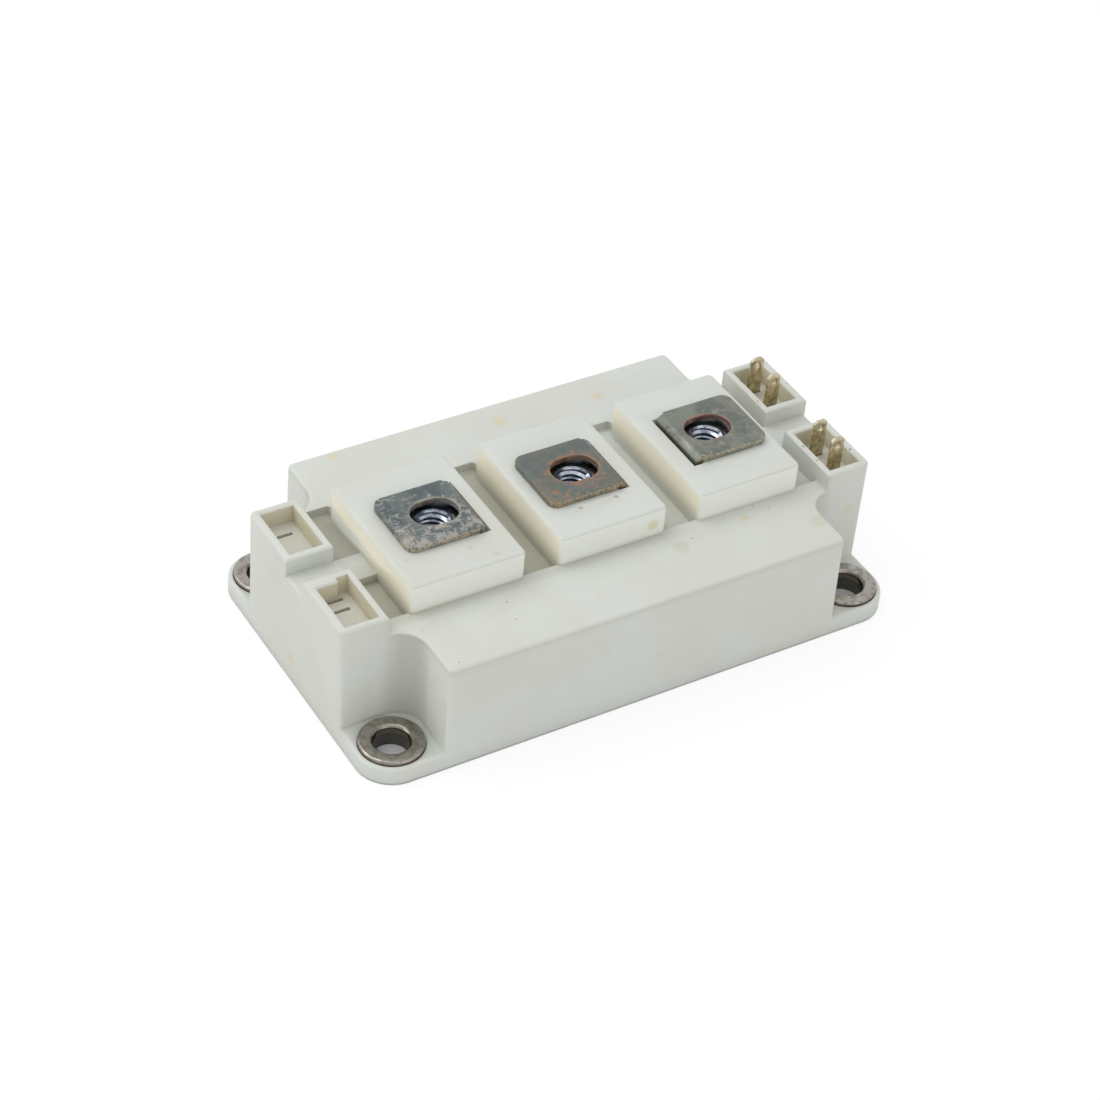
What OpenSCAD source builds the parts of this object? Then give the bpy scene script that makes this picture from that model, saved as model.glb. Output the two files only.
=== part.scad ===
// Half-bridge power module: moulded housing on a metal baseplate, three screw
// terminals on raised platforms, four flat control tabs, and the bridge inside.

/* [Base] */
// Length of the whole footprint
base_l = 106.4; // [100:0.1:112]
// Width of the whole footprint
base_w = 61.4; // [58:0.1:66]
// Distance of each mounting hole from the two edges beside it
hole_inset = 6.7; // [6.3:0.1:7.2]
// Diameter of the hole for each mounting screw
bolt_d = 6.4; // [5.4:0.1:7]
// Thickness of the baseplate
plate_t = 2.5; // [2:0.1:2.8]
// How far the baseplate stands below the housing's skirt
plate_drop = 0.35; // [0.2:0.05:0.8]
// Thickness of the skirt round the baseplate
skirt_t = 1.2; // [0.8:0.1:1.6]
// Running gap between pieces that slip into each other
fit_gap = 0.1; // [0.05:0.01:0.15]

/* [Mounting bushes] */
// Outer diameter of a bush
bush_d = 11.6; // [10:0.1:12]
// Height of the top of a bush above the underside
bush_top = 4.3; // [4:0.1:5]
// Chamfer on the mouth of a bush
bush_chamfer = 0.45; // [0.2:0.05:0.6]

/* [Housing] */
// Height of the four low ears
ear_h = 3.5; // [3.3:0.1:3.8]
// Height of the deck
deck_h = 21.8; // [20:0.1:24]
// Length of the deck between the notches
deck_l = 79.2; // [79:0.1:82]
// Width of the two end blocks
end_w = 34.8; // [33:0.1:36]
// Radius of the inner corner of each notch
notch_r = 5; // [2:0.1:6]
// How far the long front and back walls lean in from base to deck
lean = 0.5; // [0.2:0.1:0.8]
// Rounding of the moulded edges
edge_r = 0.6; // [0.3:0.1:0.8]
// Rounding of the upright moulded corners
upright_r = 1; // [0.8:0.1:1.5]
// Thickness of the outer walls
wall = 2.2; // [1.8:0.1:2.6]
// Height of the cavity's roof
roof_h = 18; // [16:0.1:18.6]

/* [Platforms] */
// Height of the platforms above the deck
platform_rise = 5.8; // [4:0.1:7]
// Length of the platform under each screw terminal, from left to right
platform_l = [22.3, 21.7, 21.2];
// Width of the platforms across the module
platform_w = 29.8; // [28:0.1:32]
// Gap between neighbouring platforms
groove_w = 6.6; // [5:0.1:7]
// Depth of the creepage grooves below the deck
groove_depth = 1.6; // [0.8:0.1:2]
// How far each groove runs past the back of its platforms
groove_past = 1.8; // [0.5:0.1:3]
// How far each groove stops short of the front of its platforms
groove_short = 0.7; // [0.5:0.1:2]

/* [Control pockets] */
// Height of the pocket rims above the deck
rim_rise = 3.4; // [2.5:0.1:4.5]
// Length of a pocket block, along the module
block_l = 9; // [8.5:0.1:9.4]
// Gap between the two blocks at one end
block_gap = 6.1; // [4:0.1:7]
// Depth of a pocket below its rim
pocket_depth = 3.8; // [3:0.1:4.2]
// Wall of a pocket towards the end of the module
rim_end = 1.5; // [1:0.1:1.8]
// Wall of a pocket towards the platforms
rim_in = 1.2; // [1:0.1:1.5]
// Wall of a pocket towards the front or the back
rim_side = 1.4; // [1:0.1:2]
// Extra thickness of the back wall of the front left pocket
thick_wall = 1; // [0.4:0.1:1.6]
// Depth of the small recess in that wall
recess_depth = 1.1; // [0.5:0.1:1.3]
// Length of that recess, along the module
recess_l = 2.3; // [1.5:0.1:3]
// Places of the unused slots in the left-hand pockets, across the module
spare_slots = [13.1, -5.85, -8.5];
// Diameter of the two ejector marks on the middle platform
mark_d = 0.9; // [0.5:0.1:1.4]

/* [Control tabs] */
// Width of a tab, along the module
tab_w = 2.8; // [2:0.1:3.4]
// Thickness of a tab
tab_t = 0.5; // [0.4:0.05:0.8]
// Height of the top of the tabs above the underside
tab_top = 29.4; // [27:0.1:31]
// Distance from a tab's middle to the end of the module
tab_inset = 4.8; // [4:0.1:5.2]
// Distance of the inner tabs from the long middle line
tab_y = 7.6; // [7.4:0.1:8.4]
// Distance between the two tabs of a pair
tab_pitch = 5.5; // [5:0.1:6]
// Diameter of the hole in a tab
tab_hole_d = 1.3; // [1:0.1:1.6]

/* [Screw terminals] */
// Distance between neighbouring terminal screws
screw_pitch = 27.8; // [27.4:0.1:28.2]
// Place of the first screw, along the module
screw_x = -26.6; // [-27:0.1:-26.2]
// Thickness of a terminal strip
strip_t = 1.2; // [0.8:0.1:1.5]
// Width of a terminal plate
strip_w = 14.3; // [13:0.1:15]
// Gap between a nut's flat and the leg beside it
leg_gap = 0.4; // [0.1:0.05:0.5]
// How far the slot of the leg shows past the bent edge of the plate
slot_past = 0.6; // [0.4:0.1:1.2]
// Distance from the screw to the free edge of the plate
free_reach = 8.6; // [7.5:0.1:9]
// Rounding of the plate's two free corners
plate_corner = 1.9; // [1:0.1:3]
// Width of the oval screw hole
oval_w = 6.6; // [6.2:0.1:7.2]
// Length of the oval screw hole
oval_l = 8.8; // [7.5:0.1:9.5]
// Width of the leg inside the housing
leg_w = 8; // [6:0.1:9]

/* [Captive nuts] */
// Width across the flats of a nut
nut_af = 10; // [9.5:0.1:10.2]
// Height of a nut
nut_h = 5; // [4:0.1:5.5]
// Diameter of the threaded hole at the crests
nut_hole_d = 5; // [4.8:0.1:5.4]
// Gap between the top of a nut and its terminal plate
nut_gap = 0.9; // [0.4:0.1:1.2]
// Depth of the free space for the screw below a nut
screw_room = 7; // [4:0.1:8]

/* [Bridge inside] */
// Length of one ceramic substrate
dcb_l = 34; // [30:0.1:35]
// Width of one ceramic substrate
dcb_w = 46; // [42:0.1:50]
// Gap between the two substrates
dcb_gap = 2; // [1:0.1:4]
// Thickness of the ceramic
ceramic_t = 0.63; // [0.4:0.01:1]
// Thickness of each copper layer
copper_t = 0.3; // [0.2:0.05:0.5]
// Bare ceramic round the copper
margin = 1; // [0.6:0.1:2]
// Half the width of the middle copper field, on which the wires land
field_w = 5.2; // [5:0.1:5.6]
// Side of the small pads for the control leads
pad_s = 2.4; // [2:0.1:3]
// Side of a transistor chip
igbt_s = 9.5; // [8:0.1:10.5]
// Side of a diode chip
diode_s = 6; // [4.5:0.1:6.6]
// Thickness of the chips
chip_t = 0.25; // [0.15:0.05:0.4]
// Diameter of the bond wires
wire_d = 0.4; // [0.3:0.05:0.5]
// Diameter of the control leads
lead_d = 0.8; // [0.5:0.1:1.1]

/* [Hidden] */
$fn = 48;
eps = 0.01;

half_l = base_l / 2;
hole_x = half_l - hole_inset;
hole_y = base_w / 2 - hole_inset;
corner_r = hole_inset;
platform_top = deck_h + platform_rise;
platform_span = platform_l[0] + platform_l[1] + platform_l[2] + 2 * groove_w;
platform_shift = 0.2;
rim_h = deck_h + rim_rise;
rim_chamfer = 0.3;
pocket_floor = rim_h - pocket_depth;
block_y = block_gap / 2;
block_w = end_w / 2 - block_y;
groove_floor = deck_h - groove_depth;
groove_corner = 0.8;

// A strip lies on its platform; its leg passes the nut on the side where it bends
plate_top = platform_top + fit_gap + strip_t;
bend_reach = nut_af / 2 + leg_gap + strip_t;
bend_r = 1.1 * strip_t;
bend_nick = 0.5;
leg_top_w = strip_w - 2 * bend_nick;
neck_z = roof_h - 1;
neck_h = 3;
foot_r = 1.5 * strip_t;
foot_l = 3;

nut_top = platform_top + fit_gap - nut_gap;
nut_floor = nut_top - nut_h - fit_gap;
nut_flare = 0.6;
boss_r = nut_hole_d / 2 + 2.4;
boss_floor = nut_floor - screw_room - 1.5;

tab_x = half_l - tab_inset;
tab_foot = roof_h - 1;
tab_chamfer = 0.6;
tab_eye = 1.7;
lead_bend = 2 * lead_d;
lead_z = tab_foot - lead_bend - 0.5;

ceramic_z = plate_t + copper_t;
track_z = ceramic_z + ceramic_t;
chip_z = track_z + copper_t;
// Along one substrate, from its middle to the module's end: the copper fields part
// at split_x, and the chips stand at igbt_x and diode_x
track_gap = 0.7;
split_x = 1.5;
pad_x = dcb_l / 2 - margin - pad_s / 2;
igbt_x = -10.2;
diode_x = -1.5;
chip_y = field_w + 2.5;
wire_y = field_w - 0.6;
wire_pitch = 1.5;
// Place of the pads along the module, on either side of its middle
pad_at = (dcb_l + dcb_gap) / 2 + pad_x;

function platform_x(i) =
    platform_shift - platform_span / 2 + i * groove_w
    + (i > 0 ? platform_l[0] : 0) + (i > 1 ? platform_l[1] : 0);
function screw_at(i) = screw_x + i * screw_pitch;
// The left and middle strips bend down on their right, the right one on its left
function bend_side(i) = i < 2 ? 1 : -1;

// ---- Shared shapes ----

// Flat outline with four round corners
module rounded_rect(l, w, r) {
    square([l - 2 * r, w], center = true);
    square([l, w - 2 * r], center = true);
    for (x = [-1, 1], y = [-1, 1])
        translate([x * (l / 2 - r), y * (w / 2 - r)]) circle(r);
}

// Moulded block with round upright corners and a rounded top edge. Its front and
// back walls lean in by lean_y between bottom and top.
module soft_block(l, w, z0, z1, r, e, lean_y = 0, fn = 16) {
    hull() for (x = [-1, 1], y = [-1, 1]) {
        translate([x * (l / 2 - r), y * (w / 2 - r), z0])
            cylinder(r = r, h = 0.4, $fn = fn);
        translate([x * (l / 2 - r), y * (w / 2 - r - lean_y), z0])
            for (a = [0, 30, 60, 90])
                cylinder(r = r - e + e * cos(a), h = z1 - z0 - e + e * sin(a), $fn = fn);
    }
}

// Block that widens (out = 1) or narrows (out = -1) at 45 degrees as it rises
module frustum(l, w, h, out) {
    linear_extrude(h, scale = [(l + 2 * out * h) / l, (w + 2 * out * h) / w], slices = 1)
        square([l, w], center = true);
}

module at_holes() {
    for (x = [-1, 1], y = [-1, 1]) translate([x * hole_x, y * hole_y]) children();
}

// ---- Housing ----

// Round inner corner of each notch, with the deck's rounded edge carried round it
module notch_corners() {
    h = deck_h - plate_drop;
    for (x = [-1, 1], y = [-1, 1])
        translate([x * deck_l / 2, y * end_w / 2, plate_drop]) difference() {
            translate([x > 0 ? -edge_r : -notch_r, y > 0 ? -edge_r : -notch_r])
                cube([notch_r + edge_r, notch_r + edge_r, h]);
            translate([x * notch_r, y * notch_r, -eps])
                cylinder(r = notch_r, h = h + 1);
            translate([x * notch_r, y * notch_r, h - edge_r]) rotate_extrude()
                difference() {
                    translate([notch_r - eps, 0]) square(edge_r + eps);
                    translate([notch_r + edge_r, 0]) circle(edge_r, $fn = 12);
                }
        }
}

// Creepage groove between x0 and x1 along the module. It reaches under the blocks on
// both sides, which are added afterwards and stand in it.
module groove(x0, x1, y0, y1) {
    reach = 1;
    translate([(x0 + x1) / 2, (y0 + y1) / 2, groove_floor]) linear_extrude(deck_h)
        rounded_rect(x1 - x0 + 2 * reach, y1 - y0, groove_corner, $fn = 16);
}

// Grooves between the platforms, and at both ends a pair parted by a deck-high bridge
module grooves() {
    y0 = -platform_w / 2 + groove_short;
    y1 = platform_w / 2 + groove_past;
    for (i = [0, 1]) groove(platform_x(i) + platform_l[i], platform_x(i + 1), y0, y1);
    for (y = [[y0, -block_y], [block_y, y1]]) {
        groove(-half_l + block_l, platform_x(0), y[0], y[1]);
        groove(platform_x(2) + platform_l[2], half_l - block_l, y[0], y[1]);
    }
}

// Walls round the control pockets, rounded like the end blocks that they stand on
module pocket_blocks() intersection() {
    h = rim_h - rim_chamfer;
    soft_block(base_l, end_w, roof_h, rim_h, upright_r, edge_r);
    for (x = [-1, 1], y = [-1, 1])
        translate([x * (half_l - block_l / 2), y * (block_y + block_w / 2)]) {
            translate([-block_l / 2, -block_w / 2, roof_h - 1])
                cube([block_l, block_w, h - roof_h + 1]);
            translate([0, 0, h]) frustum(block_l, block_w, rim_chamfer, -1);
        }
}

// Open inside of a pocket, between y0 and y1 across the module
module pocket(side, y0, y1) {
    l = block_l - rim_end - rim_in;
    translate([side * (half_l - rim_end - l / 2), (y0 + y1) / 2]) {
        translate([0, 0, pocket_floor]) linear_extrude(rim_h)
            square([l, y1 - y0], center = true);
        translate([0, 0, rim_h - rim_chamfer]) frustum(l, y1 - y0, 2 * rim_chamfer, 1);
    }
}

// The four pockets; the tabs stand in the right-hand ones
module pockets() {
    y0 = block_y + rim_side;
    y1 = end_w / 2 - rim_side;
    for (s = [-1, 1]) pocket(s, y0, y1);
    pocket(1, -y1, -y0);
    pocket(-1, -y1, -y0 - thick_wall);
    translate([-half_l + block_l - rim_in - recess_l, -y0 - thick_wall - eps, pocket_floor])
        cube([recess_l, recess_depth + eps, rim_h]);
}

// Slot through a pocket's floor
module tab_slot(x, y) {
    l = tab_w + 2 * fit_gap;
    w = tab_t + 2 * fit_gap;
    translate([x - l / 2, y - w / 2, roof_h - 1]) cube([l, w, pocket_floor - roof_h + 1 + eps]);
}

module tab_slots() {
    for (y = spare_slots) tab_slot(-tab_x, y);
    for (y = [tab_y, tab_y + tab_pitch], s = [-1, 1]) tab_slot(tab_x, s * y);
}

// Seat of one captive nut, room for the screw below it, and the slot for the leg
module terminal_seat(i) translate([screw_at(i), 0]) {
    translate([0, 0, nut_floor]) rotate(30)
        cylinder(d = (nut_af + 2 * fit_gap) / cos(30), h = platform_top, $fn = 6);
    translate([0, 0, nut_floor - screw_room])
        cylinder(d = nut_hole_d + 2, h = screw_room + 1, $fn = 32);
    mirror([bend_side(i) > 0 ? 0 : 1, 0, 0])
        translate([nut_af / 2, -strip_w / 2 - fit_gap, roof_h - 1])
            cube([leg_gap + strip_t + slot_past, strip_w + 2 * fit_gap, platform_top]);
}

// Two shallow marks of the mould's ejector pins
module ejector_marks() {
    for (x = [-1, 1]) translate([screw_at(1) + x * (mark_d + 2.7), -platform_w / 2 + 6.4,
                                 platform_top - mark_d / 2])
        cylinder(d = mark_d, h = 1, $fn = 24);
}

// Hollow under the deck, open at the bottom, with a boss left below each nut
module cavity() difference() {
    translate([0, 0, plate_t - eps]) linear_extrude(roof_h - plate_t + eps) {
        square([deck_l - 2 * wall, base_w - 2 * wall - 2 * lean], center = true);
        square([base_l - 2 * wall, end_w - 2 * wall], center = true);
    }
    for (i = [0:2]) translate([screw_at(i), 0, boss_floor])
        cylinder(r = boss_r, h = roof_h, $fn = 32);
}

module housing() color("ivory") difference() {
    union() {
        difference() {
            union() {
                soft_block(deck_l, base_w, plate_drop, deck_h, upright_r, edge_r, lean);
                soft_block(base_l, end_w, plate_drop, deck_h, upright_r, edge_r);
                notch_corners();
            }
            grooves();
        }
        // the low ears at the four corners
        soft_block(base_l, base_w, plate_drop, ear_h, corner_r, edge_r, 0, 48);
        for (i = [0:2]) translate([platform_x(i) + platform_l[i] / 2, 0])
            soft_block(platform_l[i], platform_w, roof_h, platform_top, upright_r, edge_r);
        pocket_blocks();
    }
    pockets();
    tab_slots();
    for (i = [0:2]) terminal_seat(i);
    ejector_marks();
    cavity();
    // seat of the baseplate inside the skirt
    translate([0, 0, -eps]) linear_extrude(plate_t + eps)
        rounded_rect(base_l - 2 * skirt_t, base_w - 2 * skirt_t, corner_r - skirt_t);
    at_holes() cylinder(d = bush_d + 2 * fit_gap, h = ear_h + 4);
}

// ---- Base ----

module baseplate() color("silver") difference() {
    inset = skirt_t + fit_gap;
    linear_extrude(plate_t)
        rounded_rect(base_l - 2 * inset, base_w - 2 * inset, corner_r - inset);
    at_holes() translate([0, 0, -eps]) cylinder(d = bolt_d, h = plate_t + 1);
}

// Metal ring that takes the clamp force of a mounting screw
module bush(x, y) color("gray") translate([x * hole_x, y * hole_y, plate_t])
    rotate_extrude() {
        h = bush_top - plate_t;
        r0 = bolt_d / 2;
        r1 = bush_d / 2;
        rim = 0.25;
        polygon([[r0, 0], [r1, 0], [r1, h - rim], [r1 - rim, h],
                 [r0 + bush_chamfer, h], [r0, h - bush_chamfer]]);
    }

// ---- Screw terminals ----

// Flat plate of a strip with its oval hole; the bent edge is at x = 0, the plate at x < 0
module plate_outline() difference() {
    l = bend_reach + free_reach - bend_r;
    union() {
        translate([-bend_r - l / 2, 0]) rounded_rect(l, strip_w, plate_corner);
        // nearly square corners where the bend starts
        translate([-bend_r - l / 4, 0]) rounded_rect(l / 2, strip_w, bend_nick, $fn = 24);
    }
    for (k = [-1, 1]) translate([-bend_reach + k * (oval_l - oval_w) / 2, 0])
        circle(d = oval_w);
    translate([-bend_reach, 0]) square([oval_l - oval_w, oval_w], center = true);
}

// Quarter bend of the strip, w wide, that ends at an outer radius of r
module strip_bend(r, w) rotate([90, 0, 0]) translate([0, 0, -w / 2])
    rotate_extrude(angle = 90) translate([r - strip_t, 0]) square([strip_t, w]);

// One strip: plate under the screw, bend, leg that narrows inside, and a foot turned
// in under the plate
module terminal(i) color("dimgray") translate([screw_at(i), 0])
    mirror([bend_side(i) > 0 ? 0 : 1, 0, 0]) translate([bend_reach, 0]) {
        leg_end = chip_z + foot_r;
        translate([0, 0, plate_top - strip_t]) linear_extrude(strip_t) plate_outline();
        translate([-bend_r, 0, plate_top - bend_r]) strip_bend(bend_r, leg_top_w);
        translate([-strip_t, 0]) rotate([90, 0, 90]) linear_extrude(strip_t) {
            translate([-leg_top_w / 2, neck_z]) square([leg_top_w, plate_top - bend_r - neck_z]);
            translate([-leg_w / 2, leg_end]) square([leg_w, neck_z - leg_end]);
            polygon([[-leg_top_w / 2, neck_z], [-leg_w / 2, neck_z - neck_h],
                     [leg_w / 2, neck_z - neck_h], [leg_top_w / 2, neck_z]]);
        }
        translate([-foot_r, 0, leg_end]) mirror([0, 0, 1]) strip_bend(foot_r, leg_w);
        translate([-foot_r - foot_l, -leg_w / 2, chip_z]) cube([foot_l, leg_w, strip_t]);
    }

// ---- Captive nuts ----

module nut(i) color("slategray") translate([screw_at(i), 0, nut_top - nut_h]) {
    d = nut_hole_d + 2 * nut_flare;
    difference() {
        rotate(30) cylinder(d = nut_af / cos(30), h = nut_h, $fn = 6);
        translate([0, 0, -eps]) cylinder(d = nut_hole_d, h = nut_h + 1);
        translate([0, 0, nut_h - nut_flare]) cylinder(d1 = nut_hole_d, d2 = d, h = nut_flare + eps);
        translate([0, 0, -eps]) cylinder(d1 = d, d2 = nut_hole_d, h = nut_flare + eps);
    }
}

// ---- Control tabs and leads ----

// Flat blade with a chamfered tip and an eye, standing in its slot
module tab(y) color("darkgoldenrod") translate([tab_x, y + tab_t / 2, tab_foot])
    rotate([90, 0, 0]) linear_extrude(tab_t) difference() {
        w = tab_w / 2;
        h = tab_top - tab_foot;
        polygon([[-w, 0], [w, 0], [w, h - tab_chamfer], [w - tab_chamfer, h],
                 [tab_chamfer - w, h], [-w, h - tab_chamfer]]);
        translate([0, h - tab_eye]) circle(d = tab_hole_d);
    }

// Quarter turn of a lead that starts at an angle of a in the upright plane
module lead_turn(a) rotate([90, 0, 0]) rotate(a) rotate_extrude(angle = 90)
    translate([lead_bend, 0]) circle(d = lead_d, $fn = 24);

// Round lead from a tab's foot, along under the deck, and down to its pad at x
module lead(y, x) color("peru") translate([0, y, 0]) {
    translate([tab_x, 0, lead_z + lead_bend])
        cylinder(d = lead_d, h = tab_foot - lead_z - lead_bend, $fn = 24);
    translate([tab_x - lead_bend, 0, lead_z + lead_bend]) lead_turn(-90);
    translate([x + lead_bend, 0, lead_z]) rotate([0, 90, 0])
        cylinder(d = lead_d, h = tab_x - x - 2 * lead_bend, $fn = 24);
    translate([x + lead_bend, 0, lead_z - lead_bend]) lead_turn(90);
    translate([x, 0, chip_z]) cylinder(d = lead_d, h = lead_z - lead_bend - chip_z, $fn = 24);
}

// ---- Bridge inside ----

// Puts something at the middle of the left (-1) or right (1) substrate, with its x
// pointing to that end of the module
module at_dcb(side) mirror([side > 0 ? 0 : 1, 0, 0])
    translate([(dcb_l + dcb_gap) / 2, 0]) children();

module copper_base(side) color("orange") at_dcb(side) translate([0, 0, plate_t])
    linear_extrude(copper_t) square([dcb_l - 2 * margin, dcb_w - 2 * margin], center = true);

module ceramic(side) color("white") at_dcb(side) translate([0, 0, ceramic_z])
    linear_extrude(ceramic_t) square([dcb_l, dcb_w], center = true);

// Copper fields: the chips stand on the wide one, the wires land on the middle one,
// and the control leads on the pads
module copper_tracks(side) color("orange") at_dcb(side) translate([0, 0, track_z])
    linear_extrude(copper_t) {
        x0 = margin - dcb_l / 2;
        x1 = pad_x - pad_s / 2 - track_gap;
        y1 = dcb_w / 2 - margin;
        translate([x0, -field_w]) square([split_x - x0, 2 * field_w]);
        difference() {
            translate([x0, -y1]) square([x1 - x0, 2 * y1]);
            translate([x0 - 1, -field_w - track_gap])
                square([split_x + track_gap - x0 + 1, 2 * (field_w + track_gap)]);
        }
        for (y = [tab_y, tab_y + tab_pitch], s = [-1, 1])
            translate([pad_x, s * y]) square(pad_s, center = true);
    }

// Square chip of side s at x along its substrate, in the front (-1) or back (1) row
module chip(side, row, x, s) color("darkslategray") at_dcb(side)
    translate([x - s / 2, row * (chip_y + s / 2) - s / 2, chip_z]) cube([s, s, chip_t]);

// Wire that arches from the middle field up to the middle of a chip of side s
module bond_wire(row, x, s) translate([x, row * wire_y, chip_z]) {
    span = chip_y + s / 2 - wire_y;
    cylinder(d = wire_d, h = chip_t, $fn = 16);
    translate([0, row * span / 2, chip_t]) rotate([90, 0, 90]) rotate_extrude(angle = 180, $fn = 32)
        translate([span / 2, 0]) circle(d = wire_d, $fn = 16);
}

module bond_wires(side) color("lightgray") at_dcb(side) for (row = [-1, 1]) {
    for (k = [-1.5:1.5]) bond_wire(row, igbt_x + k * wire_pitch, igbt_s);
    for (k = [-1:1]) bond_wire(row, diode_x + k * wire_pitch, diode_s);
}

housing();
baseplate();
bush(-1, -1);  // bush_front_left
bush(1, -1);  // bush_front_right
bush(-1, 1);  // bush_back_left
bush(1, 1);  // bush_back_right
terminal(0);  // terminal_left
terminal(1);  // terminal_middle
terminal(2);  // terminal_right
nut(0);  // nut_left
nut(1);  // nut_middle
nut(2);  // nut_right
tab(tab_y + tab_pitch);  // tab_back_outer
tab(tab_y);  // tab_back_inner
tab(-tab_y);  // tab_front_inner
tab(-tab_y - tab_pitch);  // tab_front_outer
lead(tab_y + tab_pitch, -pad_at);  // lead_back_outer
lead(tab_y, pad_at);  // lead_back_inner
lead(-tab_y, pad_at);  // lead_front_inner
lead(-tab_y - tab_pitch, -pad_at);  // lead_front_outer
copper_base(-1);  // copper_base_left
copper_base(1);  // copper_base_right
ceramic(-1);  // ceramic_left
ceramic(1);  // ceramic_right
copper_tracks(-1);  // copper_tracks_left
copper_tracks(1);  // copper_tracks_right
chip(-1, -1, igbt_x, igbt_s);  // igbt_front_left
chip(1, -1, igbt_x, igbt_s);  // igbt_front_right
chip(-1, 1, igbt_x, igbt_s);  // igbt_back_left
chip(1, 1, igbt_x, igbt_s);  // igbt_back_right
chip(-1, -1, diode_x, diode_s);  // diode_front_left
chip(1, -1, diode_x, diode_s);  // diode_front_right
chip(-1, 1, diode_x, diode_s);  // diode_back_left
chip(1, 1, diode_x, diode_s);  // diode_back_right
bond_wires(-1);  // bond_wires_left
bond_wires(1);  // bond_wires_right
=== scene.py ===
import math

import bmesh
import bpy
from mathutils import Matrix, Vector


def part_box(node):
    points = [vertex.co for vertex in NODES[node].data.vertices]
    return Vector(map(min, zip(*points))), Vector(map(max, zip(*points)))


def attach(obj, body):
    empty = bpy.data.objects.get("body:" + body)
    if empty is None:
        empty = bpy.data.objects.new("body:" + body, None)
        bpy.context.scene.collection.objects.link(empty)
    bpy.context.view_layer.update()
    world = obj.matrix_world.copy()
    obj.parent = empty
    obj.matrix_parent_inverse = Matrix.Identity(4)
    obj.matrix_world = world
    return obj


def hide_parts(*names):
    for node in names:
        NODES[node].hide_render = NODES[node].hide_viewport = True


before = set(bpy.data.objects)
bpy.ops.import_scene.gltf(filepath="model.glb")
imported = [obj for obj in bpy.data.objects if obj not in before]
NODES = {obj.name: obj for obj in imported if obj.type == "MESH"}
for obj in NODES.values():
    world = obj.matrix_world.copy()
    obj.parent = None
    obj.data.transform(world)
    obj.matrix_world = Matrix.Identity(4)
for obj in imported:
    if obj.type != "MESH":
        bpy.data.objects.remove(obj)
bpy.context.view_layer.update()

MM = 0.001


# ---- Places, in millimetres, from the frame ----

def span(node):
    """Lowest and highest corner of a node, in millimetres."""
    low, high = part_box(node)
    return low / MM, high / MM


HOUSING_LOW, HOUSING_HIGH = span("housing")
TAB_TOP = span("tab_front_inner")[1].z
SCREWS = {side: (span("nut_" + side)[0].x + span("nut_" + side)[1].x) / 2
          for side in ("left", "middle", "right")}
PLATFORM_TOP = HOUSING_HIGH.z
DECK = PLATFORM_TOP - 5.8
RIM = DECK + 3.4
POCKET_FLOOR = RIM - 3.8
EAR_TOP = HOUSING_LOW.z + 3.6
FOOT_CORNER = 6.7
NOTCH = (42, 20)


# ---- Camera, light and floor ----

AZIMUTH, ELEVATION, ROLL = (math.radians(a) for a in (34.035, 39.996, 5.566))
TARGET = Vector((0.7, 0.4, 10)) * MM
DISTANCE = 516.1 * MM
LENS = 94.38
SHIFT = -0.0114

WORLD = 0.86
SKY = (0.97, 0.985, 1.0, 1)
WHITE = (1, 1, 1, 1)
FLOOR_GREY = (0.80, 0.80, 0.80, 1)
GLOW = 1.06
GLOW_SHARE = 0.78
# name, place in metres, size in metres, power in watts, colour
LAMPS = (("overhead", (-0.3, 0.35, 0.75), 0.7, 2.3, (1, 0.99, 0.96)),
         ("side", (-0.85, 0.25, 0.35), 0.5, 0.8, (1, 0.99, 0.96)),
         ("front", (0.1, -0.85, 0.3), 0.5, 0.8, (1, 0.99, 0.97)))


def point_camera():
    """Long lens from the front left, held with a slight roll."""
    back = Vector((-math.sin(AZIMUTH) * math.cos(ELEVATION),
                   -math.cos(AZIMUTH) * math.cos(ELEVATION), math.sin(ELEVATION)))
    level = (-back).cross(Vector((0, 0, 1))).normalized()
    upright = level.cross(-back)
    right = math.cos(ROLL) * level + math.sin(ROLL) * upright
    up = -math.sin(ROLL) * level + math.cos(ROLL) * upright
    camera = bpy.data.cameras.new("camera")
    camera.lens = LENS
    camera.sensor_width = 36
    camera.shift_x = SHIFT
    camera.clip_start = 0.01
    camera.clip_end = 20
    held = bpy.data.objects.new("camera", camera)
    turn = Matrix((right, up, back)).transposed().to_4x4()
    held.matrix_world = Matrix.Translation(TARGET + back * DISTANCE) @ turn
    bpy.context.scene.collection.objects.link(held)
    bpy.context.scene.camera = held


class Value:
    """One number, colour or vector of a material. Arithmetic on it adds Math nodes."""

    def __init__(self, finish, socket):
        self.finish = finish
        self.socket = socket

    def __add__(self, other):
        return self.finish.math("ADD", self, other)

    def __sub__(self, other):
        return self.finish.math("SUBTRACT", self, other)

    def __mul__(self, other):
        return self.finish.math("MULTIPLY", self, other)

    def __rsub__(self, other):
        return self.finish.math("SUBTRACT", other, self)

    __radd__ = __add__
    __rmul__ = __mul__

    def __abs__(self):
        return self.finish.math("ABSOLUTE", self)

    def __or__(self, other):
        """The larger of two."""
        return self.finish.math("MAXIMUM", self, other)

    def rise(self, low, high):
        """0 below low and 1 above high, or the other way round if low is above high."""
        return self.finish.node("ShaderNodeMapRange", {"interpolation_type": "SMOOTHSTEP"},
                                self, low, high)


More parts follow.
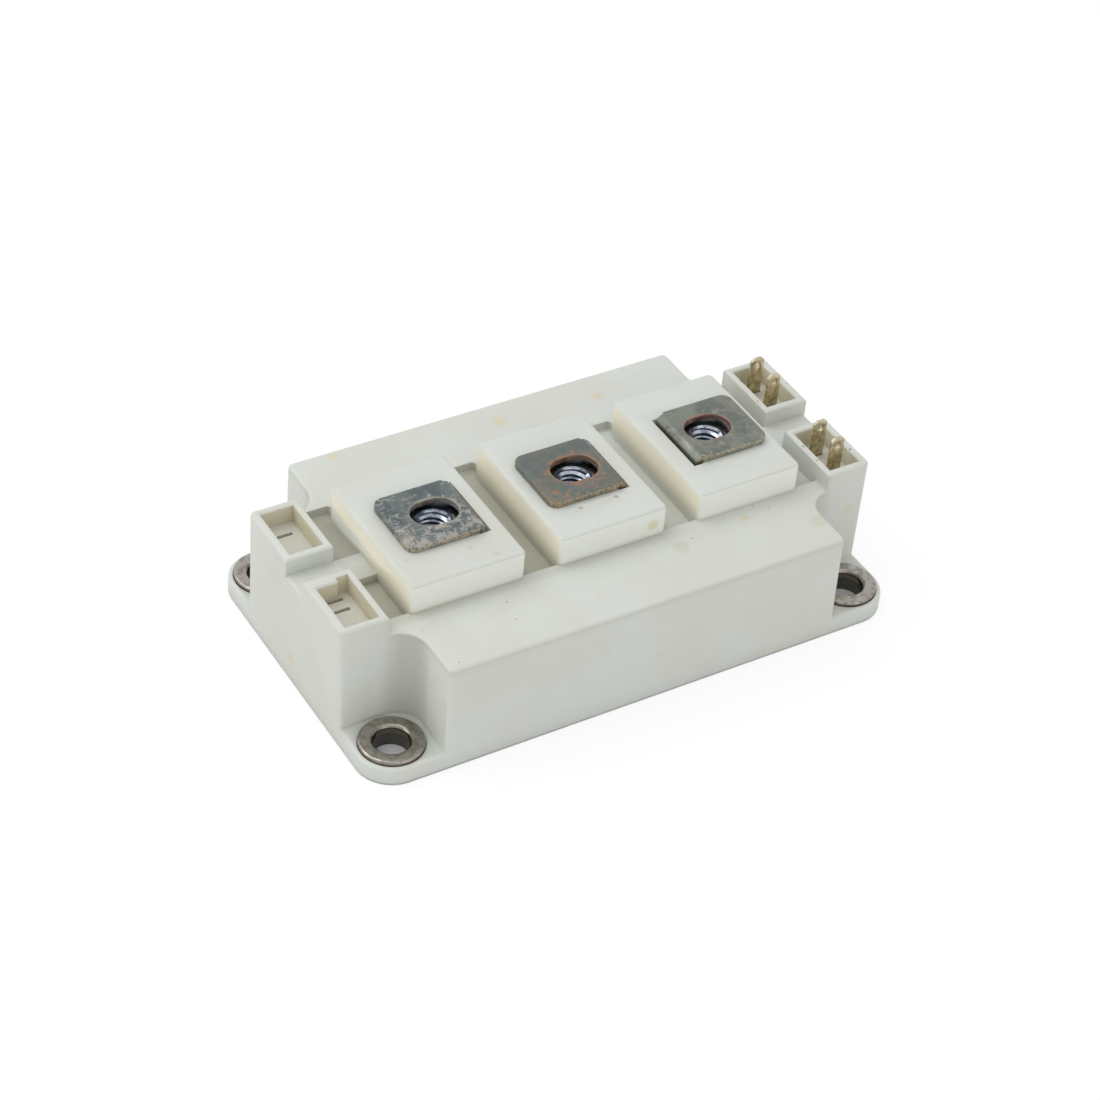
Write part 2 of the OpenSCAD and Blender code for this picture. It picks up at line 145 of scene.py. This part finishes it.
class Finish:
    """A material on Object coordinates in millimetres."""

    def __init__(self, name):
        self.material = bpy.data.materials.new(name)
        self.material.use_nodes = True
        self.tree = self.material.node_tree
        self.tree.nodes.clear()
        coordinates = self.node("ShaderNodeTexCoord", {}, output="Object")
        self.at = self.node("ShaderNodeVectorMath", {"operation": "SCALE"},
                            coordinates, Scale=1 / MM)
        facing = self.node("ShaderNodeNewGeometry", {}, output="Normal")
        self.x, self.y, self.z = self.parts(self.at)
        self.nx, self.ny, self.nz = self.parts(facing)

    def node(self, kind, settings, *inputs, output=0, **named):
        """Output of a new node of a type, with its settings, then its sockets."""
        node = self.tree.nodes.new(kind)
        for key, value in settings.items():
            setattr(node, key, value)
        for key, value in [*enumerate(inputs), *named.items()]:
            socket = node.inputs[key]
            if isinstance(value, Value):
                self.tree.links.new(value.socket, socket)
            elif value is not None:
                socket.default_value = value
        return Value(self, node.outputs[output])

    def math(self, operation, *inputs):
        return self.node("ShaderNodeMath", {"operation": operation}, *inputs)

    def parts(self, vector):
        return [self.node("ShaderNodeSeparateXYZ", {}, vector, output=k) for k in range(3)]

    def noise(self, scale, detail, roughness, at=None, distortion=0):
        return self.node("ShaderNodeTexNoise", {}, Vector=at or self.at, Scale=scale,
                         Detail=detail, Roughness=roughness, Distortion=distortion)

    def mix(self, first, second, amount):
        """Colour between two colours."""
        def colour(c):
            return c if isinstance(c, Value) else (*c, 1)
        node = self.tree.nodes.new("ShaderNodeMix")
        node.data_type = "RGBA"
        for key, value in ((0, amount), (6, colour(first)), (7, colour(second))):
            if isinstance(value, Value):
                self.tree.links.new(value.socket, node.inputs[key])
            else:
                node.inputs[key].default_value = value
        return Value(self, node.outputs[2])

    def moved(self, x, y, z, stretch=(1, 1, 1)):
        """Coordinates about a point, stretched along each axis."""
        about = self.node("ShaderNodeVectorMath", {"operation": "SUBTRACT"}, self.at, (x, y, z))
        return self.node("ShaderNodeVectorMath", {"operation": "MULTIPLY"}, about, stretch)

    def distance(self, x, y, z=None, stretch=(1, 1, 1)):
        """Distance from a point, or from an upright line where z is left out."""
        flat = (stretch[0], stretch[1], 0 if z is None else stretch[2])
        return self.node("ShaderNodeVectorMath", {"operation": "LENGTH"},
                         self.moved(x, y, z or 0, flat), output="Value")

    def spots(self, places, soft=0.35, ragged=0.5):
        """Mask of round ragged spots, each given as x, y, z and radius."""
        shake = (self.noise(1.4, 4, 0.7) - 0.5) * ragged
        mask = None
        for x, y, z, radius in places:
            gap = self.distance(x, y, z) + shake * (2 * radius)
            spot = gap.rise(radius * (1 + soft), radius * (1 - soft))
            mask = spot if mask is None else mask | spot
        return mask

    def bump(self, height, strength, distance):
        return self.node("ShaderNodeBump", {}, Height=height, Strength=strength,
                         Distance=distance)

    def surface(self, colour, roughness, metallic=0.0, normal=None):
        shader = self.tree.nodes.new("ShaderNodeBsdfPrincipled")
        output = self.tree.nodes.new("ShaderNodeOutputMaterial")
        sockets = {"Base Color": colour, "Roughness": roughness, "Metallic": metallic,
                   "Normal": normal}
        for key, value in sockets.items():
            if isinstance(value, Value):
                self.tree.links.new(value.socket, shader.inputs[key])
            elif value is not None:
                shader.inputs[key].default_value = value
        self.tree.links.new(shader.outputs[0], output.inputs[0])
        return self.material


def light_stage():
    """Even studio light with three soft lamps, and a white backdrop for the eye."""
    world = bpy.data.worlds.new("studio")
    world.use_nodes = True
    bpy.context.scene.world = world
    tree = world.node_tree
    tree.nodes.clear()
    path = tree.nodes.new("ShaderNodeLightPath")
    seen = tree.nodes.new("ShaderNodeMath")
    seen.operation = "MAXIMUM"
    light = tree.nodes.new("ShaderNodeBackground")
    light.inputs[0].default_value = SKY
    light.inputs[1].default_value = WORLD
    backdrop = tree.nodes.new("ShaderNodeBackground")
    backdrop.inputs[0].default_value = WHITE
    backdrop.inputs[1].default_value = 1.0
    either = tree.nodes.new("ShaderNodeMixShader")
    output = tree.nodes.new("ShaderNodeOutputWorld")
    tree.links.new(path.outputs["Is Camera Ray"], seen.inputs[0])
    tree.links.new(path.outputs["Is Transmission Ray"], seen.inputs[1])
    tree.links.new(seen.outputs[0], either.inputs[0])
    tree.links.new(light.outputs[0], either.inputs[1])
    tree.links.new(backdrop.outputs[0], either.inputs[2])
    tree.links.new(either.outputs[0], output.inputs[0])
    for name, place, size, power, colour in LAMPS:
        lamp = bpy.data.lights.new(name, "AREA")
        lamp.size = size
        lamp.energy = power
        lamp.color = colour
        held = bpy.data.objects.new(name, lamp)
        held.location = place
        held.rotation_euler = (-Vector(place)).to_track_quat("-Z", "Y").to_euler()
        bpy.context.scene.collection.objects.link(held)
    bpy.context.scene.view_settings.view_transform = "Standard"


def lay_floor():
    """Pale floor that looks almost white, with a faint soft shadow on it."""
    bm = bmesh.new()
    bmesh.ops.create_grid(bm, x_segments=1, y_segments=1, size=4)
    floor = add_piece("floor", bm, ride=False)
    finish = Finish("floor")
    finish.surface(FLOOR_GREY, 0.9)
    links, nodes = finish.tree.links, finish.tree.nodes
    glow = nodes.new("ShaderNodeEmission")
    either = nodes.new("ShaderNodeMixShader")
    glow.inputs[0].default_value = WHITE
    glow.inputs[1].default_value = GLOW
    # no glow under the piece, so the gap below the skirt and the screw holes stay dark
    beside = (abs(finish.x) - (HOUSING_HIGH.x - FOOT_CORNER)) | 0
    behind = (abs(finish.y) - (HOUSING_HIGH.y - FOOT_CORNER)) | 0
    reach = finish.math("SQRT", beside * beside + behind * behind)
    under = reach.rise(FOOT_CORNER + 0.1, FOOT_CORNER - 0.1)
    seen = finish.node("ShaderNodeLightPath", {}, output="Is Camera Ray")
    share = seen * (1 - under) * GLOW_SHARE
    links.new(share.socket, either.inputs[0])
    links.new(nodes["Principled BSDF"].outputs[0], either.inputs[1])
    links.new(glow.outputs[0], either.inputs[2])
    links.new(either.outputs[0], nodes["Material Output"].inputs[0])
    floor.data.materials.append(finish.material)


# ---- Meshes ----

MERGE = 0.002 * MM
FLAT = math.radians(0.5)
SHARP = math.radians(35)
THREAD_SHARP = math.radians(25)

THREAD_STEPS = 36
THREAD_CREST, THREAD_ROOT = 2.5, 3.03
# The wall of the bore, then the edge of its mouth: found within a radius, moved out to another
BORE_WALL = (2.7, 3.0)
BORE_MOUTH = (3.3, 3.45)


def add_piece(name, bm, ride=True):
    mesh = bpy.data.meshes.new(name)
    bm.to_mesh(mesh)
    bm.free()
    piece = bpy.data.objects.new(name, mesh)
    bpy.context.scene.collection.objects.link(piece)
    if ride:
        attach(piece, "root")
    return piece


def soften(node, width, segments=2):
    """Merged copy of a CAD node whose sharp outer edges are rounded, in its place."""
    bm = bmesh.new()
    bm.from_mesh(NODES[node].data)
    bmesh.ops.remove_doubles(bm, verts=bm.verts, dist=MERGE)
    bmesh.ops.dissolve_limit(bm, angle_limit=FLAT, verts=bm.verts, edges=bm.edges)
    edges = [e for e in bm.edges if e.is_manifold and e.calc_face_angle_signed(0) > SHARP]
    bmesh.ops.bevel(bm, geom=edges, offset=width * MM, offset_type="OFFSET",
                    segments=segments, profile=0.5, affect="EDGES", material=-1,
                    clamp_overlap=True)
    piece = add_piece(node + "_finished", bm)
    piece.data.shade_smooth()
    piece.data.set_sharp_from_angle(angle=SHARP)
    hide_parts(node)
    return piece


def dress(piece, material):
    piece.data.materials.clear()
    piece.data.materials.append(material)


def thread(bm, centre, low, high):
    """One-start metric thread of 1 mm pitch that stands in from a bore's wall."""
    turns = high - low - 1
    profile = [(THREAD_ROOT, -0.46), (THREAD_CREST, -0.09),
               (THREAD_CREST, 0.09), (THREAD_ROOT, 0.46)]
    verts = [bm.verts.new(Vector((centre.x + r, centre.y, low + 0.5 + h)) * MM)
             for r, h in profile]
    edges = [bm.edges.new(pair) for pair in zip(verts, verts[1:])]
    bmesh.ops.spin(bm, geom=verts + edges, cent=centre * MM, axis=(0, 0, 1),
                   dvec=(0, 0, MM / THREAD_STEPS), angle=math.tau * turns,
                   steps=round(THREAD_STEPS * turns), use_duplicate=False)


def make_nut(side):
    """Nut whose bore is opened to the thread's root and holds a real thread."""
    piece = soften("nut_" + side, 0.12)
    low, high = span("nut_" + side)
    centre = Vector((SCREWS[side], 0, 0))
    bm = bmesh.new()
    bm.from_mesh(piece.data)
    for vert in bm.verts:
        away = Vector((vert.co.x - centre.x * MM, vert.co.y, 0))
        for found, moved in (BORE_WALL, BORE_MOUTH):
            if away.length < found * MM:
                away.length = moved * MM
                vert.co.x, vert.co.y = centre.x * MM + away.x, away.y
                break
    thread(bm, centre, low.z, high.z)
    bmesh.ops.recalc_face_normals(bm, faces=bm.faces)
    bm.to_mesh(piece.data)
    bm.free()
    piece.data.shade_smooth()
    piece.data.set_sharp_from_angle(angle=THREAD_SHARP)
    return piece


# ---- Finishes ----

PLASTIC = (0.60, 0.62, 0.575)
PLASTIC_AGED = (0.58, 0.575, 0.50)
# painted light: lighter, creamy colour for platform faces that look to the left end
PAINTED_LIGHT_CREAM = (0.84, 0.79, 0.63)
# painted shade at the foot of the platform faces that look to the left end
PAINTED_LEFT_FACE_SHADE = (0.40, 0.36, 0.26)
# cleaner plastic, and lighter as painted light, on platform faces that look to the front
CLEAN_AND_LIT_FRONT = (0.78, 0.79, 0.72)
# painted shade: yellow-brown of the pocket walls
POCKET_WALL_SHADE = (0.60, 0.50, 0.29)
# painted shade over the whole pocket
POCKET_SHADE = (0.60, 0.57, 0.47)
# painted shade along the foot of the grooves
GROOVE_SHADE = (0.34, 0.32, 0.235)
# painted shade at the foot of upright faces
WALL_FOOT_SHADE = (0.46, 0.44, 0.35)
# painted shade in the inner corners of the notches
NOTCH_CORNER_SHADE = (0.36, 0.35, 0.29)
STAIN = (0.62, 0.53, 0.27)
MARK = (0.50, 0.44, 0.30)
SPECK = (0.13, 0.11, 0.09)
# x, y, z and radius of each spot, in millimetres
STAINS = ((-31.3, 28.4, 21.8, 0.9), (0.9, 24.9, 21.8, 1.2), (8.7, -14.9, 24.4, 1.1),
          (26.5, -17.7, 21.8, 0.8), (-53.2, 0.8, 4.9, 1.0), (49.9, -17.4, 15.6, 0.9),
          (20.9, 23.9, 21.8, 0.9), (-52.9, 1.5, 5.6, 0.5))
MARKS = ((-36.4, -7.9, 27.6, 0.5), (-21.5, -13.0, 27.6, 0.6), (-24.9, -9.6, 27.6, 0.5),
         (-14.4, -0.4, 20.6, 0.7), (-15.6, -3.5, 20.6, 0.8), (38.0, -24.0, 21.8, 1.6),
         (12.0, -19.5, 21.8, 1.4))
SPECKS = ((-22.6, -19.0, 21.8, 0.16), (-23.4, -23.4, 21.8, 0.13), (15.0, -18.3, 21.8, 0.17),
          (32.0, -17.0, 21.8, 0.13), (29.6, -15.2, 21.8, 0.16), (-38.9, -19.0, 21.8, 0.13),
          (-37.1, -28.6, 21.8, 0.14), (-2.2, 15.1, 21.8, 0.15), (45.1, 12.8, 25.2, 0.22),
          (45.3, 8.4, 25.2, 0.2), (44.6, 6.4, 25.2, 0.18), (44.7, -8.4, 25.2, 0.22),
          (44.7, -12.8, 25.2, 0.2), (53.0, 10.4, 25.1, 0.18), (52.6, 8.7, 25.2, 0.18),
          (52.0, -12.7, 25.2, 0.22))


def moulded_plastic():
    """Off-white matte plastic, yellowed and stained in places, with painted light on the
    platform sides and painted shade in the pockets, grooves and corners.
    """
    f = Finish("moulded plastic")
    cloud = f.noise(0.045, 4, 0.55)
    patch = f.noise(0.16, 5, 0.6)
    grain = f.noise(1.6, 3, 0.6)
    colour = f.mix(PLASTIC, PLASTIC_AGED, cloud.rise(0.42, 0.62) * 0.5)
    colour = f.mix(colour, PLASTIC_AGED, patch.rise(0.56, 0.72) * 0.6)
    # platform faces that look to the left end are creamy and lighter as painted light,
    # darkening towards their foot as painted shade; those to the front are clean, and lighter
    # as painted light
    upright = abs(f.nz).rise(0.5, 0.3)
    on_platform = f.z.rise(DECK + 0.1, DECK + 0.6) * abs(f.x).rise(41, 40)
    painted_light_left = f.nx.rise(-0.5, -0.8) * upright * on_platform
    colour = f.mix(colour, PAINTED_LIGHT_CREAM, painted_light_left * 0.9)
    # painted shade: those faces darken towards their foot
    shade = painted_light_left * f.z.rise(DECK + 3.4, DECK + 0.2)
    colour = f.mix(colour, PAINTED_LEFT_FACE_SHADE, shade * 0.4)
    # cleaner plastic, and lighter as painted light, on platform faces that look to the front
    clean_and_lit = f.ny.rise(-0.5, -0.8) * upright * on_platform
    colour = f.mix(colour, CLEAN_AND_LIT_FRONT, clean_and_lit * 0.9)
    # painted shade: the pockets are darker and yellow on their walls, and darker all over
    pocket = (f.z.rise(RIM + 0.1, RIM - 0.6) * f.z.rise(POCKET_FLOOR - 0.3, POCKET_FLOOR)
              * abs(f.x).rise(45.0, 45.4) * abs(f.x).rise(52.0, 51.6)
              * abs(f.y).rise(3.9, 4.4) * abs(f.y).rise(16.4, 16.0))
    colour = f.mix(colour, POCKET_WALL_SHADE, pocket * upright * (patch * 0.7 + 0.25))
    # painted shade that darkens the whole pocket
    colour = f.mix(colour, POCKET_SHADE, pocket * 0.4)
    # painted shade: dull olive bands along the foot of the grooves and beside the platforms,
    # weaker from the second groove on
    wander = (f.noise(0.3, 3, 0.6) - 0.5) * 1.2
    along = abs(f.y).rise(17.4, 15.2)
    deep = (f.z + wander * 0.5).rise(DECK + 1.0, DECK - 1.5) * along
    colour = f.mix(colour, GROOVE_SHADE, deep * abs(f.x).rise(44, 43.4)
                   * (f.x.rise(15.5, 10.5) * 0.65 + 0.06))
    # painted shade: upright faces darken near their foot by the deck
    foot = (f.z.rise(DECK + 1.6, DECK - 0.4) * upright * f.z.rise(DECK - 2, DECK - 0.5)
            * abs(f.x).rise(44, 43.4))
    colour = f.mix(colour, WALL_FOOT_SHADE, foot * 0.35)
    # painted shade: the round inner corners of the notches are darker
    corner = None
    for x in (-1, 1):
        for y in (-1, 1):
            near = f.distance(x * NOTCH[0], y * NOTCH[1]).rise(4.6, 1.5)
            corner = near if corner is None else corner | near
    colour = f.mix(colour, NOTCH_CORNER_SHADE, corner * upright * 0.5)
    colour = f.mix(colour, STAIN, f.spots(STAINS) * 0.5)
    colour = f.mix(colour, MARK, f.spots(MARKS) * 0.35)
    colour = f.mix(colour, SPECK, f.spots(SPECKS, 0.5) * 0.75)
    height = f.noise(2.2, 4, 0.6) + f.spots(SPECKS) * -1.5
    return f.surface(colour, grain * 0.15 + 0.42, normal=f.bump(height, 0.1, 0.0004))


SCREW_HOLE = 3.3
HOLE_STRETCH = (0.82, 1, 1)
BLACK_SPOT = (0.03, 0.03, 0.03)
# painted shade: near-black wall of the screw hole
HOLE_WALL_SHADE = (0.05, 0.035, 0.025)
# base, second tone, deposit, rim of the hole, bare edge
PLATE_COLOURS = {
    "left": ((0.155, 0.18, 0.18), (0.10, 0.125, 0.13), (0.42, 0.385, 0.34),
             (0.40, 0.35, 0.29), (0.60, 0.50, 0.36)),
    "middle": ((0.13, 0.16, 0.155), (0.17, 0.17, 0.145), (0.33, 0.175, 0.095),
               (0.30, 0.18, 0.11), (0.56, 0.46, 0.31)),
    "right": ((0.225, 0.24, 0.205), (0.155, 0.17, 0.15), (0.33, 0.29, 0.24),
              (0.35, 0.16, 0.13), (0.66, 0.58, 0.42))}
# how much deposit gathers towards the front edge, round the hole and at the sides
PLATE_SPREAD = {"left": (0.55, 0.3, 0.3), "middle": (0.35, 0.55, 0.0),
                "right": (0.1, 0.15, 0.0)}


def tarnished_plate(side):
    """Dulled terminal plate: base and second tone, deposits, rim of the hole, edges."""
    base, second, deposit, rim, edge = PLATE_COLOURS[side]
    to_front, to_hole, to_sides = PLATE_SPREAD[side]
    f = Finish("terminal plate " + side)
    at = f.moved(SCREWS[side] * 3, 7, 0)
    tones = f.noise(0.25, 4, 0.6, at)
    blots = f.noise(0.62, 6, 0.72, at, distortion=0.6)
    fine = f.noise(2.6, 4, 0.7, at)
    colour = f.mix(base, second, tones.rise(0.42, 0.6))
    # deposits gather towards the front edge and round the hole
    across = abs(f.x - SCREWS[side])
    gap = f.distance(SCREWS[side], 0, None, HOLE_STRETCH) - SCREW_HOLE
    near_hole = gap.rise(1.7, 0.0)
    gather = f.y.rise(1, -7) * to_front + near_hole * to_hole + across.rise(4, 8) * to_sides
    crust = (blots + gather * 0.2 + (fine - 0.5) * 0.5).rise(0.54, 0.70)
    colour = f.mix(colour, deposit, crust * 0.85)
    colour = f.mix(colour, rim, (gap + (blots - 0.5) * 1.6).rise(0.75, 0.15) * 0.8)
    black = f.noise(1.1, 3, 0.7, at).rise(0.70, 0.76)
    colour = f.mix(colour, BLACK_SPOT, black * 0.7)
    flank = abs(f.nz).rise(0.75, 0.45) * f.z.rise(PLATFORM_TOP - 0.1, PLATFORM_TOP + 0.15)
    bared = flank * gap.rise(0.6, 1.2) * (f.ny.rise(-0.2, -0.7) * 0.65 + 0.25)
    colour = f.mix(colour, edge, bared * (fine.rise(0.4, 0.6) * 0.65 + 0.15))
    # painted shade: the wall of the screw hole is painted near black
    inside = gap.rise(0.15, -0.1)
    colour = f.mix(colour, HOLE_WALL_SHADE, inside * abs(f.nz).rise(0.8, 0.5) * 0.85)
    rough = crust * 0.25 + fine * 0.25 + 0.24
    height = crust * 0.6 + fine * 0.3
    return f.surface(colour, rough, bared * 0.25 + crust * -0.35 + 0.7,
                     normal=f.bump(height, 0.35, 0.00012))


# painted shade below the top of the ear, down the bush's bore
RING_SHADE = (0.12, 0.09, 0.06)


def turned_metal(name, colour, dark, roughness, ring=None):
    """Plated and turned metal, dulled where dirt stays, and darker below a height as painted
    shade.
    """
    f = Finish(name)
    wear = f.noise(0.7, 4, 0.6)
    fine = f.noise(5, 3, 0.6)
    shade = f.mix(colour, dark, wear.rise(0.45, 0.62))
    if ring is not None:
        # painted shade: darker below the ring height, down the bore
        shade = f.mix(shade, RING_SHADE, f.z.rise(ring + 0.35, ring - 0.2) * 0.7)
    return f.surface(shade, wear * 0.2 + roughness, 1.0,
                     normal=f.bump(fine, 0.08, 0.0001))


def bronze_tab():
    """Bronze of the control tabs, brighter towards the tip."""
    f = Finish("dulled bronze")
    wear = f.noise(0.9, 5, 0.65)
    colour = f.mix((0.64, 0.55, 0.35), (0.36, 0.30, 0.17), wear.rise(0.4, 0.62))
    tip = f.z.rise(TAB_TOP - 1.2, TAB_TOP - 0.2)
    colour = f.mix(colour, (0.66, 0.62, 0.50), tip * 0.5)
    return f.surface(colour, wear * 0.25 + 0.28, 0.85)


def nickel_plating():
    """Nickel on the baseplate, bright below, with its upright edge darkened as painted shade
    under the skirt.
    """
    f = Finish("nickel plating")
    cloud = f.noise(0.5, 4, 0.6)
    colour = f.mix((0.60, 0.58, 0.53), (0.50, 0.48, 0.43), cloud.rise(0.4, 0.65))
    # painted shade: the upright edge, in the gap under the skirt, is painted dark
    edge = abs(f.nz).rise(0.6, 0.3)
    colour = f.mix(colour, (0.085, 0.08, 0.075), edge * 0.9)
    return f.surface(colour, cloud * 0.15 + 0.3, 1.0)


def plain(name, colour, roughness, metallic, change=0.8):
    """Finish of an inner piece: one colour with a slight cloudiness."""
    f = Finish(name)
    cloud = f.noise(0.5, 4, 0.6)
    return f.surface(f.mix(colour, [c * change for c in colour], cloud.rise(0.4, 0.65)),
                     cloud * 0.15 + roughness, metallic)


# ---- The piece ----

point_camera()
light_stage()
lay_floor()

dress(soften("housing", 0.2), moulded_plastic())

steel = turned_metal("plated steel", (0.43, 0.405, 0.365), (0.29, 0.265, 0.23), 0.12, EAR_TOP)
zinc = turned_metal("zinc-plated steel", (0.50, 0.54, 0.62), (0.22, 0.25, 0.31), 0.14)
bronze = bronze_tab()
for corner in ("front_left", "front_right", "back_left", "back_right"):
    dress(soften("bush_" + corner, 0.16, segments=3), steel)
for side in ("left", "middle", "right"):
    dress(soften("terminal_" + side, 0.15), tarnished_plate(side))
    dress(make_nut(side), zinc)
for row in ("back", "front"):
    for place in ("inner", "outer"):
        dress(soften("tab_%s_%s" % (row, place), 0.05), bronze)

# how a node's name starts, its finish and its slot
INNER = (("baseplate", nickel_plating(), "baseplate"),
         ("lead_", plain("tinned copper", (0.66, 0.60, 0.52), 0.3, 1.0), "lead"),
         ("copper_", plain("bare copper", (0.72, 0.40, 0.27), 0.32, 1.0), "copper"),
         ("ceramic_", plain("alumina", (0.82, 0.82, 0.79), 0.45, 0.0, 0.94), "ceramic"),
         ("igbt_", plain("metallised silicon", (0.26, 0.29, 0.33), 0.18, 0.9), "chip"),
         ("diode_", plain("dark silicon", (0.20, 0.22, 0.26), 0.18, 0.9), "chip"),
         ("bond_", plain("aluminium wire", (0.76, 0.76, 0.75), 0.25, 1.0), "wire"))
for start, material, slot in INNER:
    for name, node in NODES.items():
        if name.startswith(start):
            dress(node, material)
